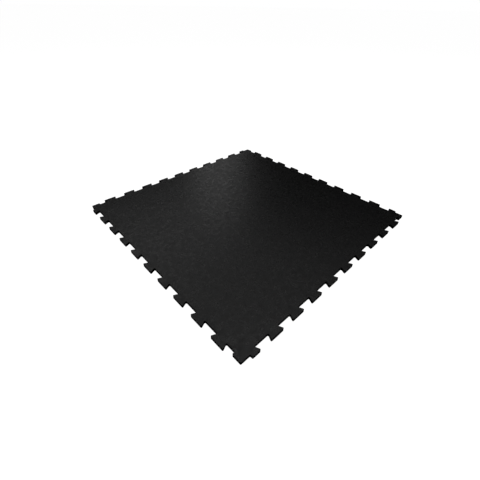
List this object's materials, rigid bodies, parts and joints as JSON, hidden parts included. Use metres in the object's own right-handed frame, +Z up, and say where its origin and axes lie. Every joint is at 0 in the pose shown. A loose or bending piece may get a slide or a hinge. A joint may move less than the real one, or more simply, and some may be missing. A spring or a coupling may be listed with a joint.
{
  "type": "interlocking floor mat",
  "caption": "Flat square floor tile of black crumb rubber, with a row of dovetail teeth along every edge that locks it to the tiles laid beside it",
  "frame": {"origin": "centre of the underside, on the floor", "axes": "+Z is up, through the thickness. +X and +Y each run square to one pair of edges. All four edges are alike a quarter turn apart, so neither is the front"},
  "size_m": [1.0192, 1.0192, 0.012],
  "materials": {
    "rubber": "matt black crumb rubber with a faint sheen"
  },
  "bodies": {
    "root": {"interlocking_mat": "rubber"}
  },
  "joints": []
}
